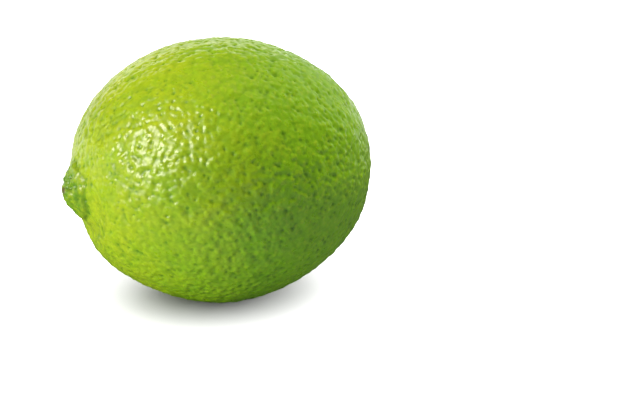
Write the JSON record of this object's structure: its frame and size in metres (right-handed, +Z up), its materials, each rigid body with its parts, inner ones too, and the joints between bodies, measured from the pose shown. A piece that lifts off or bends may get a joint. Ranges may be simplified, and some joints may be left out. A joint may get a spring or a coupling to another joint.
{
  "type": "lime",
  "caption": "Whole ripe lime with a low nipple at the blossom end and a sunken stem end, lying on its side on a small flat spot.",
  "frame": {"origin": "on the resting surface, under the middle of the fruit's overall length", "axes": "+X along the fruit from the blossom end's nipple to the stem end, +Z up, away from the flat spot it rests on"},
  "size_m": [0.065, 0.0552, 0.0539],
  "materials": {
    "peel": "semi-gloss waxy peel, dimpled all over with oil glands, yellow-green with deeper green dimples"
  },
  "bodies": {
    "root": {"lime": "peel"}
  },
  "joints": []
}
